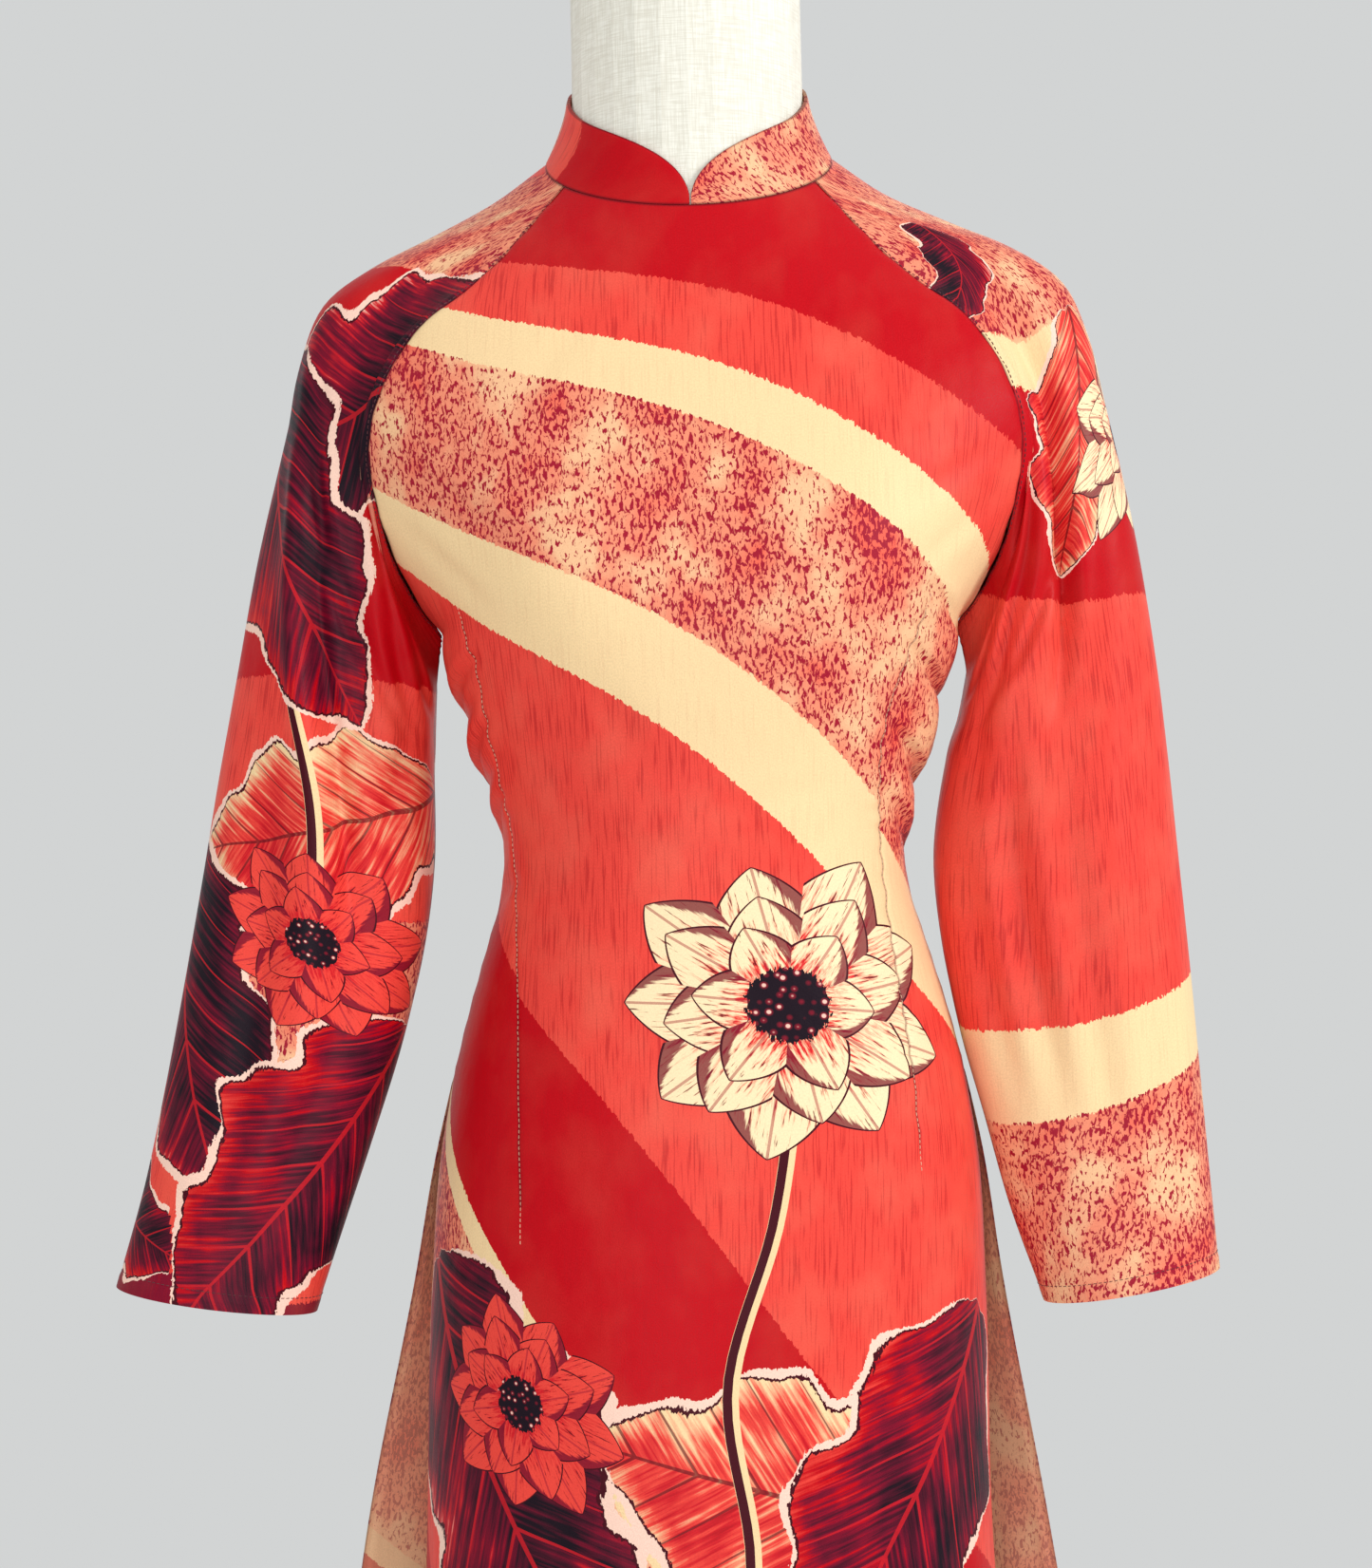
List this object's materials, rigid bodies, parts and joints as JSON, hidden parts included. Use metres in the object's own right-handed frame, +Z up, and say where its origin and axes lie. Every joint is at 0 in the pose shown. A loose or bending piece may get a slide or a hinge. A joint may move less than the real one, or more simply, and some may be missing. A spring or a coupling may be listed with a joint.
{
  "type": "ao dai tunic on a dress form",
  "caption": "Long fitted ao dai tunic with raglan sleeves, stand collar and side slits, resting on a limbless linen dress form with a pole and a round base.",
  "frame": {"origin": "middle of the underside of the stand's round base", "axes": "+Z up, the front of the garment faces -Y, +X is the wearer's left"},
  "size_m": [0.589, 0.33, 1.518],
  "materials": {
    "printed_crepe": "printed silky crepe in crimson, coral, peach and burgundy with a low soft sheen",
    "form_linen": "off-white linen cover, matte",
    "stand_steel": "satin brushed steel"
  },
  "bodies": {
    "root": {"front_panel": "printed_crepe", "back_panel": "printed_crepe", "sleeve_right": "printed_crepe", "sleeve_left": "printed_crepe", "collar": "printed_crepe", "dress_form": "form_linen", "pole": "stand_steel", "base": "stand_steel"}
  },
  "joints": []
}
